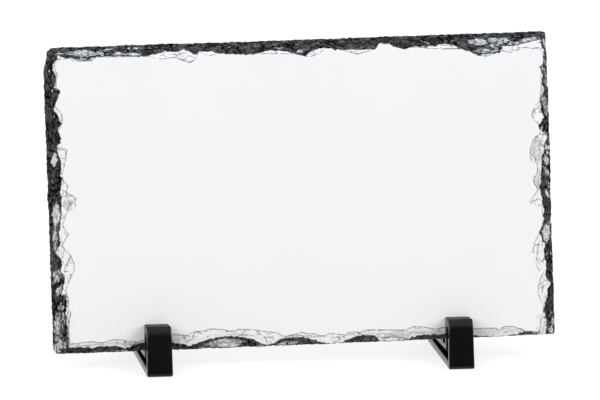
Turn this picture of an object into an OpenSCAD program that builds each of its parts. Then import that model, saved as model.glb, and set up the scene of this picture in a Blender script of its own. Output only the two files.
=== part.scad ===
// Slate display board on two moulded feet.
// The board is a hand-chipped slate slab with a white coat on its face. It leans
// back in the slots of two black feet and lifts out of them, and the feet slide
// along its lower edge. The origin is on the table, at the middle of the outer
// box. +X runs along the board to the viewer's right, +Y to the back, +Z up.

/* [Board] */
// Width of the slab, between its side edges
board_w = 250; // [190:5:400]
// Height of the slab, along its face
board_h = 150; // [100:5:250]
// Thickness of the stone
stone_t = 6.4; // [5:0.2:9]
// Thickness of the white coat on the face
coat_t = 0.15; // [0.1:0.05:0.4]
// Angle that the board leans back, in degrees
board_lean = 10; // [5:0.5:16]
// Angle that the board sits crooked in its slots, in degrees
board_turn = 0.87; // [0:0.01:0.9]

/* [Chipped edge] */
// Width of the chipped border at its narrowest
border_w = 2.2; // [1:0.1:3]
// Reach of the largest flake from the edge
flake_reach = 11; // [8:0.5:14]
// Height of the bumps along the outline
edge_rough = 0.35; // [0.1:0.05:0.5]
// Radius of the most knocked-off corner
corner_r = 5; // [2:0.5:7]
// Corner radius of the flat face inside the chipped border
face_r = 1.6; // [1:0.2:3]
// Chamfer round the back of the slab
back_break = 0.4; // [0.2:0.1:0.8]
// Length of edge between two neighbouring points
edge_step = 2.8; // [2:0.1:4]

/* [Feet] */
// Width of a foot at the table
foot_w = 12.8; // [10:0.2:20]
// Narrowing of each side of a foot, in degrees
foot_draft = 0.85; // [0:0.05:1.2]
// Length of a foot from front to back
foot_len = 70; // [62:1:90]
// Distance between the middles of the feet
foot_spacing = 149.4; // [110:0.2:160]
// Offset of the pair of feet from the middle
foot_offset = 1.5; // [-4:0.5:4]
// Height of the front hook
hook_h = 23.2; // [20:0.2:28]
// Radius of the rolled front of the hook
hook_r = 5.4; // [3.8:0.2:6]
// Thickness of the solid top of the hook
hook_top_t = 3.6; // [2:0.1:5]
// Thickness of the front plate
plate_t = 3.4; // [2:0.1:4]
// Thickness of the slot's front wall
wall_t = 3.1; // [2:0.1:4]
// Gap between the front plate and the slot's front wall
hollow_w = 6.4; // [5:0.1:8]
// Thickness of the bar that lies on the table
base_t = 3.2; // [2:0.1:4]
// Height of the slot's floor at its front
slot_z = 9.9; // [9:0.1:12]
// Thickness of the bar that carries the board
arm_t = 2.5; // [2:0.1:3]
// Fall of that bar towards the back, in degrees
arm_fall = 2; // [0:0.5:3]
// Height of the back-rest
rest_h = 42; // [34:1:55]
// Thickness of the back-rest and of its brace
rest_t = 3; // [2:0.1:4]
// Rounding of the outer corners of a foot
outer_round = 0.8; // [0.3:0.1:1]
// Rounding of the inner corners of a foot
inner_round = 0.6; // [0.3:0.1:1]

/* [Clearance] */
// Gap on each side of the board in its slot
slot_gap = 0.3; // [0.2:0.05:0.6]
// Gap under the board in the left foot
floor_gap = 0.3; // [0.2:0.05:0.6]
// Depth of the hollow in the lower edge that sits in the left foot
seat_notch = 0.4; // [0.2:0.05:0.8]

/* [Hidden] */
lean_tan = tan(board_lean);
lean_cos = cos(board_lean);
fall_tan = tan(arm_fall);
foot_mid = foot_len / 2;
left_x = foot_offset - foot_spacing / 2;
right_x = foot_offset + foot_spacing / 2;
slab_t = stone_t + coat_t;
arc_steps = 8;

// Slot of a foot, measured along the table at the table's height
slot_front = plate_t + hollow_w + wall_t;
face_front = slot_front + slot_gap / lean_cos;
slot_back = face_front + (slab_t + slot_gap) / lean_cos;

// Slot floor, front corner and back corner
function floor_z(y) = slot_z - (y - floor_front[0]) * fall_tan;
floor_front = [slot_front + slot_z * lean_tan, slot_z];
floor_back_y = (slot_back + (slot_z + floor_front[0] * fall_tan) * lean_tan)
    / (1 + fall_tan * lean_tan);
floor_back = [floor_back_y, floor_z(floor_back_y)];

// Height of the board's lower front edge at its middle: the notched part of the
// lower back edge clears the left foot's slot floor by the floor gap
seat_drop = (board_h / 2) * (1 - cos(board_turn)) + left_x * sin(board_turn);
board_z = floor_back[1] + floor_gap - seat_notch
    + slab_t * sin(board_lean) - seat_drop * lean_cos;

// Chipped border. Each row is one flake: where along the edge its middle lies,
// its half width and how far it reaches in, as shares of the edge and the reach.
// Lower edge from left to right, then right edge upwards, upper edge from right
// to left and left edge downwards.
flake_shares = [
    [[0.04, 0.05, 0.42], [0.10, 0.04, 0.48], [0.16, 0.05, 0.52], [0.22, 0.05, 0.62],
     [0.28, 0.04, 0.66], [0.34, 0.05, 0.90], [0.41, 0.05, 0.84], [0.47, 0.04, 0.60],
     [0.52, 0.04, 0.72], [0.58, 0.05, 0.62], [0.64, 0.05, 0.70], [0.70, 0.05, 0.78],
     [0.76, 0.04, 0.66], [0.82, 0.05, 0.58], [0.88, 0.05, 0.62], [0.94, 0.05, 0.50]],
    [[0.04, 0.06, 0.52], [0.11, 0.05, 0.62], [0.17, 0.06, 0.78], [0.25, 0.05, 0.66],
     [0.31, 0.05, 0.90], [0.38, 0.05, 0.52], [0.44, 0.05, 0.46], [0.50, 0.05, 0.56],
     [0.56, 0.05, 0.64], [0.62, 0.06, 0.74], [0.69, 0.05, 0.58], [0.76, 0.06, 0.70],
     [0.84, 0.06, 0.56], [0.91, 0.05, 0.44], [0.97, 0.05, 0.40]],
    [[0.04, 0.05, 0.62], [0.09, 0.06, 0.80], [0.16, 0.05, 0.62], [0.22, 0.05, 0.56],
     [0.28, 0.04, 0.46], [0.34, 0.04, 0.60], [0.40, 0.05, 0.64], [0.46, 0.05, 0.68],
     [0.52, 0.04, 0.58], [0.57, 0.04, 0.52], [0.62, 0.05, 0.62], [0.68, 0.05, 0.80],
     [0.73, 0.04, 0.62], [0.79, 0.05, 0.66], [0.86, 0.05, 0.74], [0.92, 0.05, 0.62],
     [0.97, 0.04, 0.56]],
    [[0.05, 0.06, 0.64], [0.12, 0.05, 0.68], [0.18, 0.05, 0.78], [0.24, 0.05, 0.66],
     [0.30, 0.05, 0.80], [0.37, 0.06, 0.72], [0.44, 0.06, 0.76], [0.51, 0.05, 0.96],
     [0.58, 0.05, 0.78], [0.65, 0.06, 0.82], [0.73, 0.06, 1.00], [0.80, 0.05, 0.78],
     [0.87, 0.06, 0.86], [0.95, 0.06, 0.82]]
];
// Radii of the corners, lower left, lower right, upper right and upper left
corner_shares = [0.70, 0.44, 0.40, 1.00];
// Steps of the chipped border from the face to the back: how far in from the
// outline and how deep in the stone each step lies, and how much both vary
step_in_shares = [1.00, 0.72, 0.42, 0.14, 0.00];
step_deep_shares = [0.00, 0.16, 0.42, 0.70, 0.88];
step_in_vary_shares = [0.00, 0.10, 0.10, 0.05, 0.00];
step_deep_vary_shares = [0.00, 0.10, 0.14, 0.10, 0.05];
seat_fade_share = 0.30;

// Starts and directions of the four edges, and the number of points on each
corners = [[-board_w / 2, 0], [board_w / 2, 0], [board_w / 2, board_h], [-board_w / 2, board_h]];
along = [[1, 0], [0, 1], [-1, 0], [0, -1]];
inward = [[0, 1], [-1, 0], [0, -1], [1, 0]];
edge_len = [board_w, board_h, board_w, board_h];
edge_n = [for (e = [0:3]) ceil(edge_len[e] / edge_step)];

// Width of the chipped border at a share s of edge e
function bump(x) = sqrt(max(0, 1 - x * x));
function border(e, s) = border_w + max([for (f = flake_shares[e])
    (f[2] * flake_reach - border_w) * bump((s - f[0]) / f[1])]);

// Bumps of the outline, quiet at the ends of an edge and over the left foot
function wave(e, s) = sin(360 * (13 * s + 0.31 * e)) * 0.5
    + sin(360 * (29 * s + 0.17 * e)) * 0.3 + sin(360 * (47 * s + 0.71 * e)) * 0.2;
seat_s = (left_x + board_w / 2) / board_w;
seat_half = (foot_w * (1 + seat_fade_share) / 2) / board_w;
seat_fade = (foot_w * seat_fade_share) / board_w;
function seat(e, s) = e == 0
    ? max(0, min(1, 1 + (seat_half - abs(s - seat_s)) / seat_fade)) : 0;
function rough(e, s) = (1 - seat(e, s)) * edge_rough * wave(e, s) * min(1, 8 * s, 8 * (1 - s))
    + seat(e, s) * seat_notch;

// Corner radii of the outline and insets of the flat face at each corner
function turn_r(c) = corner_r * corner_shares[c];
function face_corner(c) = corners[c]
    + along[c] * (border((c + 3) % 4, 1) + face_r) + inward[c] * (border(c, 0) + face_r);

// Points of the outline and of the flat face's edge, in the same order
function arc_dir(c, k) = -inward[c] * sin(90 * k / arc_steps) - along[c] * cos(90 * k / arc_steps);
function outline_arc(c) = [for (k = [0:arc_steps - 1])
    corners[c] + (along[c] + inward[c]) * turn_r(c) + turn_r(c) * arc_dir(c, k)];
function face_arc(c) = [for (k = [0:arc_steps - 1]) face_corner(c) + face_r * arc_dir(c, k)];
function outline_edge(e) = [for (i = [0:edge_n[e] - 1]) let (s = i / edge_n[e],
    run = edge_len[e] - turn_r(e) - turn_r((e + 1) % 4))
    corners[e] + along[e] * (turn_r(e) + run * s) + inward[e] * rough(e, s)];
function face_edge(e) = [for (i = [0:edge_n[e] - 1]) let (s = i / edge_n[e],
    from = face_corner(e) * along[e], to = face_corner((e + 1) % 4) * along[e])
    along[e] * (from + (to - from) * s)
    + inward[e] * (corners[e] * inward[e] + border(e, s))];
outline = [for (e = [0:3]) each concat(outline_arc(e), outline_edge(e))];
face = [for (e = [0:3]) each concat(face_arc(e), face_edge(e))];
count = len(outline);

// Plain ring on the flat face, inside every flake, and the middle of the face
core_in = flake_reach + border_w;
function core_corner(c) = corners[c] + (along[c] + inward[c]) * (core_in + face_r);
function core_edge(e) = [for (i = [0:edge_n[e] - 1]) let (s = i / edge_n[e])
    core_corner(e) * (1 - s) + core_corner((e + 1) % 4) * s - inward[e] * face_r];
core = [for (e = [0:3]) each concat(
    [for (k = [0:arc_steps - 1]) core_corner(e) + face_r * arc_dir(e, k)], core_edge(e))];
middle = [0, board_h / 2];

// One ring of the chipped border, its points at slightly varying depth
function jitter(i, k) = sin(i * (77 + 31 * k)) * 0.6 + sin(i * (23 + 7 * k)) * 0.4;
function border_ring(k) = [for (i = [0:count - 1])
    let (p = outline[i], q = face[i],
    a = step_in_shares[k] + step_in_vary_shares[k] * jitter(i, k),
    d = step_deep_shares[k] + step_deep_vary_shares[k] * jitter(i, k + 3),
    r = p + (q - p) * a)
    [r[0], coat_t + stone_t * d, r[1]]];
back_ring = [for (i = [0:count - 1])
    let (p = outline[i], d = face[i] - p, r = p + d * (back_break / norm(d)))
    [r[0], slab_t, r[1]]];
rings = concat([[for (p = core) [p[0], coat_t, p[1]]]],
    [for (k = [0:len(step_in_shares) - 1]) border_ring(k)], [back_ring]);

// Triangles between two neighbouring rings
function between(k) = [for (i = [0:count - 1]) let (j = (i + 1) % count,
    a = k * count + i, b = k * count + j, c = a + count, d = b + count)
    each [[a, b, d], [a, d, c]]];

// Puts the board, drawn upright with its lower edge at zero, into the slots
module in_slots() {
    translate([0, face_front + board_z * lean_tan - foot_mid, board_z])
        rotate([-board_lean, 0, 0])
            translate([0, 0, board_h / 2])
                rotate([0, -board_turn, 0])
                    translate([0, 0, -board_h / 2])
                        children();
}

module slate_slab() {
    last = len(rings) - 1;
    front_middle = len(rings) * count;
    back_middle = front_middle + 1;
    color([0.20, 0.20, 0.21])
        in_slots()
            polyhedron(
                points = concat([for (r = rings) each r],
                    [[middle[0], coat_t, middle[1]], [middle[0], slab_t, middle[1]]]),
                faces = concat(
                    [for (k = [0:last - 1]) each between(k)],
                    [for (i = [0:count - 1]) [front_middle, (i + 1) % count, i]],
                    [for (i = [0:count - 1])
                        [back_middle, last * count + i, last * count + (i + 1) % count]]
                )
            );
}

module white_coat() {
    color([0.95, 0.95, 0.96])
        in_slots()
            translate([0, coat_t, 0])
                rotate([90, 0, 0])
                    linear_extrude(height = coat_t)
                        polygon(face);
}

// Rounded polygon: each corner [x, y, radius] becomes an arc
function unit(v) = v / norm(v);
function rounded(list) = [for (i = [0:len(list) - 1])
    let (n = len(list), c = [list[i][0], list[i][1]],
    before = list[(i + n - 1) % n], after = list[(i + 1) % n],
    u = unit([before[0], before[1]] - c), v = unit([after[0], after[1]] - c),
    half = acos(u * v) / 2, r = list[i][2],
    centre = c + unit(u + v) * r / sin(half),
    from = c + u * r / tan(half) - centre,
    turn = v - u,
    spin = from[0] * turn[1] > from[1] * turn[0] ? 1 : -1)
    each [for (k = [0:arc_steps]) let (t = spin * (180 - 2 * half) * k / arc_steps)
        centre + [from[0] * cos(t) - from[1] * sin(t), from[0] * sin(t) + from[1] * cos(t)]]];

// Side outline of a foot. X is the depth from the foot's front lower corner.
function leaned(y, z) = [y + z * lean_tan, z];
rest_back = slot_back + rest_t / lean_cos;
under_z = slot_z - arm_t;
hollow_back = plate_t + hollow_w;
function under(y) = under_z - (y - leaned(hollow_back, under_z)[0]) * fall_tan;
rear_in = foot_len - rest_t;
brace_foot = [foot_len, floor_z(foot_len)];

module foot_outline() {
    top_front = leaned(0, hook_h);
    top_back = leaned(slot_front, hook_h);
    rest_front = leaned(slot_back, rest_h);
    rest_rear = leaned(rest_back, rest_h);
    polygon(rounded([
        [0, 0, outer_round],
        [foot_len, 0, outer_round],
        [brace_foot[0], brace_foot[1], rest_t],
        [rest_rear[0], rest_rear[1], outer_round],
        [rest_front[0], rest_front[1], outer_round],
        [floor_back[0], floor_back[1], inner_round],
        [floor_front[0], floor_front[1], inner_round],
        [top_back[0], top_back[1], outer_round],
        [top_front[0], top_front[1], hook_r]
    ]));
}

// Hollow behind the front plate and the channel between the bar on the table
// and the bar that carries the board
module foot_channel() {
    low_front = leaned(plate_t, base_t);
    high_front = leaned(plate_t, hook_h - hook_top_t);
    high_back = leaned(hollow_back, hook_h - hook_top_t);
    apex = leaned(hollow_back, under_z);
    polygon(rounded([
        [low_front[0], low_front[1], inner_round],
        [rear_in, base_t, inner_round],
        [rear_in, under(rear_in), inner_round],
        [apex[0], apex[1], inner_round],
        [high_back[0], high_back[1], hollow_w / 3],
        [high_front[0], high_front[1], hollow_w / 3]
    ]));
}

// Open triangle between the back-rest, its brace and the bar under them
module foot_window() {
    // The brace's inner side runs parallel to its outer side, its thickness inwards
    top = leaned(rest_back, rest_h);
    run = unit(brace_foot - top);
    inner = top + [run[1], -run[0]] * rest_t;
    slope = run[1] / run[0];
    function brace_z(y) = inner[1] + (y - inner[0]) * slope;
    // Where that side meets the back-rest and the bar under it
    high_z = (brace_z(rest_back)) / (1 - slope * lean_tan);
    low_z = floor_z(leaned(rest_back, slot_z)[0]);
    tip_y = (floor_z(0) - brace_z(0)) / (slope + fall_tan);
    polygon(rounded([
        [leaned(rest_back, low_z)[0], low_z, inner_round],
        [tip_y, floor_z(tip_y), inner_round],
        [leaned(rest_back, high_z)[0], high_z, inner_round]
    ]));
}

// Front outline of a foot, a little narrower towards the top
module foot_front() {
    top_w = foot_w / 2 - rest_h * tan(foot_draft);
    polygon(rounded([
        [-foot_w / 2, 0, outer_round],
        [foot_w / 2, 0, outer_round],
        [top_w, rest_h, outer_round],
        [-top_w, rest_h, outer_round]
    ]));
}

module foot(x) {
    color([0.05, 0.05, 0.05])
        translate([x, -foot_mid, 0])
            intersection() {
                translate([-foot_w / 2, 0, 0])
                    rotate([90, 0, 90])
                        linear_extrude(height = foot_w)
                            difference() {
                                foot_outline();
                                foot_channel();
                                foot_window();
                            }
                translate([0, foot_len, 0])
                    rotate([90, 0, 0])
                        linear_extrude(height = foot_len)
                            foot_front();
            }
}

module left_foot() {
    foot(left_x);
}

module right_foot() {
    foot(right_x);
}

slate_slab();
white_coat();
left_foot();
right_foot();
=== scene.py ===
import bpy
import numpy as np
from mathutils import Matrix
from mathutils.geometry import tessellate_polygon


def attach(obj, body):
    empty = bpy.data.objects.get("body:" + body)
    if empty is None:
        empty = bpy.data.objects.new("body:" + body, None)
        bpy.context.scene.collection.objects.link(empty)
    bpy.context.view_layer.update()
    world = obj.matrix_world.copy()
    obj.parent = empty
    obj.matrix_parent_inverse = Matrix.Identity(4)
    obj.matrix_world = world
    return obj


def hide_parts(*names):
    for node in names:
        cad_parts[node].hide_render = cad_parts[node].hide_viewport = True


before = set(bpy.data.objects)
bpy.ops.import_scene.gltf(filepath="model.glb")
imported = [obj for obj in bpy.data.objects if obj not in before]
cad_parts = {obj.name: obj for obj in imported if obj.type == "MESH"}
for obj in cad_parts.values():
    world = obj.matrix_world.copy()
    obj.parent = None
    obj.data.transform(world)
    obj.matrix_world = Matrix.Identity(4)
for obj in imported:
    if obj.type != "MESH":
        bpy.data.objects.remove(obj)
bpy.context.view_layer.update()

# The board is one slab of black slate, 250 x 150 x 6.4 mm. Flakes are struck off its
# face all round by hand, and the white coat sprayed on later lies on some of them. It
# stands in the slots of the two feet, leaning back and a little crooked.

MM = 0.001
BOARD_W, BOARD_H, STONE_T, COAT_T = 250.0, 150.0, 6.4, 0.15
SLAB_T = STONE_T + COAT_T
LEAN, CROOKED = np.radians(10.0), np.radians(0.87)
# Half the length of a foot, the height of the board's lower front edge, and how far
# behind a foot's front the line of the face would meet the table
FOOT_MID, BOARD_Z, FACE_FRONT = 35.0, 11.7715, 13.2046
# Corners from the lower left round by the lower right, then the mesh: its spacing
# along the edge and its rows across the border
CORNER_R = (3.5, 2.2, 2.0, 5.0)
COLUMN_STEP, BORDER_ROWS = 0.38, 37
# Where a nearest place is looked for, further off than any that counts
FAR = 9.0


def in_slots(u, w, v):
    """Board millimetres to scene metres. u runs to the right, w into the stone
    from the coat's face, v up from the lower edge. The board turns in its own
    plane about its middle, then leans back about its lower front edge."""
    du, dv = u, v - BOARD_H / 2
    across = du * np.cos(CROOKED) - dv * np.sin(CROOKED)
    up = BOARD_H / 2 + du * np.sin(CROOKED) + dv * np.cos(CROOKED)
    y = FACE_FRONT + BOARD_Z * np.tan(LEAN) - FOOT_MID + up * np.sin(LEAN) + w * np.cos(LEAN)
    z = BOARD_Z + up * np.cos(LEAN) - w * np.sin(LEAN)
    return np.stack([across, y, z], -1) * MM


def ripple(x, y, length, seed, waves=7):
    """A smooth uneven surface of about -1 to 1: a sum of sine waves of about
    this length, each with its own seeded direction and phase."""
    rng = np.random.default_rng(seed)
    total = np.zeros(np.broadcast(x, y).shape)
    for _ in range(waves):
        turn, phase, k = rng.uniform(0, 2 * np.pi), rng.uniform(0, 2 * np.pi), rng.uniform(0.6, 1.7)
        total += np.sin(2 * np.pi * k * (x * np.cos(turn) + y * np.sin(turn)) / length + phase)
    return total / waves ** 0.5 / 1.6


def smooth(low, high, x):
    """0 below low, 1 above high, an even S between them."""
    f = np.clip((x - low) / (high - low), 0, 1)
    return f * f * (3 - 2 * f)


def broken_facets(s, t, long, wide, slant, seed):
    """Facets of broken stone. The border is cut into slanted cells by one seeded
    point in each, every place belongs to its nearest point, and each cell has
    its own seeded tilt and height. Returns the height, the distance, as a share
    of a cell, to the crack between this cell and the next, and a value from -0.5
    to 0.5 that is even over the cell."""
    x, y = (s + slant * t) / long, t / wide
    i, j = np.floor(x), np.floor(y)
    near, next_near = np.full(s.shape, FAR), np.full(s.shape, FAR)
    height, even = np.zeros(s.shape), np.zeros(s.shape)

    def pick(a, b, k):
        """A scattered value from 0 to 1 for a cell: the last digits of a large sine."""
        h = np.sin(a * 127.1 + b * 311.7 + (seed + k) * 74.7) * 43758.5453
        return h - np.floor(h)

    # Nine cells round each place, each with its point 0.15 to 0.85 of the way across
    for di in (-1, 0, 1):
        for dj in (-1, 0, 1):
            a, b = i + di, j + dj
            dx = x - a - 0.15 - 0.7 * pick(a, b, 1)
            dy = y - b - 0.15 - 0.7 * pick(a, b, 2)
            d = np.hypot(dx, dy)
            own = pick(a, b, 3) - 0.5 + 1.5 * dx * (pick(a, b, 4) - 0.5)
            own = own + 1.9 * dy * (pick(a, b, 5) - 0.35)
            closer = d < near
            next_near = np.where(closer, near, np.minimum(next_near, d))
            height = np.where(closer, own, height)
            even = np.where(closer, pick(a, b, 6) - 0.5, even)
            near = np.where(closer, d, near)
    return height, next_near - near, even


# Inner limit of the bare stone and of the shallow coated flakes beyond it, in mm:
# pairs of a place along the edge and a distance from it. The side edges count
# upwards from the bottom, the lower and upper edges from the middle to the right.
BARE_LIMIT = {
    "left": [
        0, 7.8, 8.4, 7.2, 14.8, 6.9, 20.7, 6.5, 24.1, 7.3, 25.8, 7.6, 28.2, 4.1, 31.1, 5.3,
        34.9, 6.4, 38.4, 6.4, 40.4, 4.5, 43.3, 5.7, 46.3, 5.2, 49.4, 2.3, 53.1, 4.9, 59.5, 4.7,
        63.4, 5.5, 67.8, 5.9, 72.7, 6.2, 75.8, 6.8, 79.1, 5.9, 82.7, 6.5, 86.1, 7, 87.1, 6.2,
        89.6, 6.8, 94.2, 6.8, 96.5, 5.9, 99.3, 5.2, 102.1, 5.1, 102.9, 6.6, 105, 6.9, 107.5, 6.3,
        109, 5.9, 111.1, 6.5, 112.8, 7.5, 114.9, 6.6, 116.8, 6, 118.7, 4.7, 119.9, 4.2, 122.7, 4.9,
        125.2, 6.2, 128, 7.2, 129.4, 6.9, 130.2, 4.8, 132.5, 5.5, 135.2, 6.1, 137.1, 5.4,
        138.1, 4.5, 140.9, 4.3, 142.9, 5.2, 144.5, 6.7, 146.4, 6.9, 150, 6.9,
    ],
    "right": [
        0, 5.2, 1.9, 5.1, 5.8, 4.7, 9.3, 5.1, 11.8, 6.3, 17.7, 4.3, 21.6, 3.8, 25, 2.2, 28.1, 4.4,
        30.5, 4.6, 32, 4, 35.4, 3.9, 37, 4.7, 40.4, 4.8, 44.9, 4.3, 45.7, 5.6, 48.9, 6.2,
        50.4, 6.9, 53.8, 5.1, 57.2, 3.8, 58.2, 4.9, 61.2, 4, 64.7, 4.7, 67.6, 5.1, 70.6, 5.7,
        73.1, 5.8, 75.6, 5.2, 78.5, 5, 82.9, 4.6, 86.9, 4.4, 88.8, 4, 90.8, 2.8, 93.3, 3.3,
        95.7, 2, 97.6, 1.6, 99.2, 3, 101.2, 4.7, 103.2, 5.6, 104.7, 4.2, 107.1, 2.4, 109.1, 2.9,
        111.1, 4, 113, 3.6, 115.1, 4.5, 117, 3.9, 119.4, 2.2, 121.4, 2.1, 123.4, 3.2, 125.4, 3,
        126.8, 2.5, 130.8, 3.2, 131.8, 4, 133.7, 1.9, 136.7, 1.2, 139.2, 2, 140.2, 1.6, 142.2, 2.7,
        145.1, 2.3, 150, 4,
    ],
    "upper": [
        -125, 6.5, -118.2, 3.8, -114.8, 5.4, -111.4, 5.4, -104.5, 7.2, -101, 5.4, -94.6, 5.3,
        -90.7, 5.2, -85.3, 5.5, -75.4, 6, -67.4, 4.5, -64.9, 3.7, -59.6, 4.3, -55.8, 2.9,
        -50.9, 5.5, -49.7, 6, -47.6, 4.3, -42.7, 4.5, -38.5, 5.7, -29.9, 6.3, -21, 6.7, -16.5, 5.8,
        -14.1, 5.2, -7.6, 5.5, -3.1, 6.3, 0.3, 7.3, 4.3, 8.5, 8.3, 5.6, 14.3, 4.7, 19.3, 5.7,
        26, 6.2, 37.2, 6.3, 39.6, 6.2, 41.4, 3.4, 46.3, 4, 48.2, 5.2, 52.6, 6.7, 57.1, 6,
        60.6, 5.8, 69.1, 5.9, 73.1, 4.9, 77.6, 5.5, 81.8, 7.7, 85.5, 8.7, 88.9, 10.3, 90.7, 11.2,
        96.4, 10.4, 101.4, 10.1, 103, 6.7, 107.5, 7.3, 111.5, 6.5, 120.4, 4.6, 125, 4.9,
    ],
    "lower": [
        -125, 5, -118.2, 2.7, -114.3, 2.6, -105.8, 2.3, -103.5, 2.8, -100.5, 2.7, -93.6, 2.6,
        -90, 1.4, -87.1, 2.1, -84.2, 3.3, -80.3, 3.6, -65.9, 3.1, -62.4, 2.2, -57.4, 1.6,
        -54.5, 2.2, -50.6, 3.5, -47.7, 3.9, -42.8, 5, -38.3, 5.3, -32.8, 4.6, -27.8, 3.4,
        -23.7, 1.9, -19.1, 0.8, -15.2, 1.8, -11.4, 2.9, -7.9, 3.3, -3.9, 3.4, -0.4, 3, 2.7, 1.9,
        8.2, 1, 13.3, 0.5, 16.3, 0.4, 20.1, 1.4, 25, 2.7, 30.4, 3.2, 34.5, 2.3, 37.2, 0.6,
        42.2, 0.5, 49.7, 0.8, 57, 2.1, 63, 1.9, 69.5, 2, 84.1, 1.3, 92.2, 0.6, 99.7, 0.6,
        104.6, 1.2, 108.1, 1.8, 112.1, 1.4, 115.7, 0.7, 125, 0.6,
    ],
}
FLAKE_LIMIT = {
    "left": [
        0, 8.4, 13, 7.8, 20, 9.2, 21, 8.1, 26.5, 8.3, 30.5, 7, 36.8, 9.6, 40.3, 11.6, 43.6, 11.7,
        48, 10, 51, 7.2, 53.1, 6.1, 58.4, 9.4, 61, 7.4, 63.4, 6.8, 68.7, 8.9, 72.1, 13.6,
        73.1, 12.8, 75.3, 13.8, 76.9, 12.6, 79, 8.8, 81.9, 10.1, 85, 7.6, 88.3, 7.4, 93.2, 9,
        95.6, 9.5, 99.5, 10.3, 102.1, 5.4, 109, 6.2, 112, 8, 114.8, 8.6, 117.5, 8.2, 119.2, 6.8,
        121, 5, 134, 6.2, 136.4, 6.9, 139.8, 5.3, 150, 7,
    ],
    "right": [
        0, 9, 4.5, 8.6, 8.4, 7.7, 11.3, 6.6, 14.3, 6.6, 15.8, 7.4, 18.8, 8.6, 22.8, 8.9, 24.8, 8.6,
        28.7, 7, 30.4, 5.8, 31.7, 8, 33.7, 9.3, 35.7, 9.5, 38.6, 8.9, 39.7, 9, 40.7, 10.9,
        43.6, 10.2, 45.6, 9.9, 48.5, 8, 50.6, 7.1, 54, 5.4, 58, 5.2, 63, 5.6, 64.9, 11.2, 66, 11.5,
        68.8, 9.3, 71.2, 7.2, 73.2, 8.2, 75.2, 9.3, 78.2, 9, 79, 7.5, 82.5, 6.9, 84, 7, 85.6, 10.1,
        89.6, 10.7, 92, 10.3, 95.5, 9.1, 97.9, 7.3, 99.2, 5, 103.5, 5.8, 105.5, 7.5, 106.8, 8.7,
        108.8, 9.1, 111.2, 8.1, 113.2, 6.8, 114.8, 5.2, 118, 4.4, 123, 3.9, 130, 3.6, 134, 2.4,
        139, 2.4, 143, 5.5, 146, 8, 150, 8,
    ],
    "upper": [
        -125, 6.8, -112, 5.8, -109.9, 7.4, -101, 7.4, -99, 5.7, -74, 6.2, -72.4, 6.4, -67.6, 7.8,
        -60.1, 7.2, -56, 9, -52.8, 10.1, -50.3, 8.7, -48, 5, -43.3, 7, -38.8, 6, 1.1, 7.5,
        4.2, 8.8, 7.2, 9.2, 12.2, 7.4, 14.3, 5, 22, 6, 24.2, 6.9, 30.3, 8.8, 36.6, 7.2, 39, 6.4,
        41, 3.6, 56, 6.4, 62, 6.5, 66, 7.1, 73, 7.7, 81.5, 7.9, 88, 9, 91.4, 11.7, 95.2, 12.1,
        99, 10.7, 102.1, 9.6, 105.2, 10.3, 107.6, 10.6, 108.2, 9.4, 110.6, 9.8, 112, 8.2,
        117.8, 9.1, 120.9, 8.8, 125, 8,
    ],
    "lower": [
        -125, 6, -120, 4.4, -113.9, 4.8, -107, 5.4, -103.6, 5, -100.6, 4.7, -98.1, 5.5, -95.7, 6,
        -91.2, 5.7, -87.3, 4.8, -83.3, 4.3, -80.9, 5.3, -77, 5.5, -66, 7.3, -61.5, 6.9, -58.1, 6.5,
        -57.5, 7.7, -55, 8.3, -51.1, 8.4, -48.1, 9.3, -45.6, 9.3, -41.6, 8.8, -38.2, 8, -35.2, 8,
        -33.7, 8.7, -25.8, 8.1, -21.9, 7.2, -15.4, 6.4, -13, 5.2, -10.5, 4.2, -8, 4.6, -5, 5.2,
        -3, 6, 0.9, 5.1, 3.9, 5, 6.4, 3.9, 9.5, 3.7, 10.9, 4.7, 15.4, 4.3, 19.4, 3.6, 20.8, 4.8,
        23.3, 5.2, 26.8, 4.7, 28.8, 5.5, 31.8, 5.7, 41.7, 5.3, 49.7, 4.9, 53.3, 6.6, 56.7, 6.3,
        60.2, 5.8, 63.7, 4.8, 69.2, 5.6, 83.7, 4.3, 87.7, 4.2, 94.2, 4.1, 95.9, 3, 98.2, 4.5,
        100.7, 4.8, 103.7, 4.4, 106.8, 3.3, 109.5, 2, 112.1, 1.6, 118, 1.5, 120.5, 7, 125, 9,
    ],
}

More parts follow.
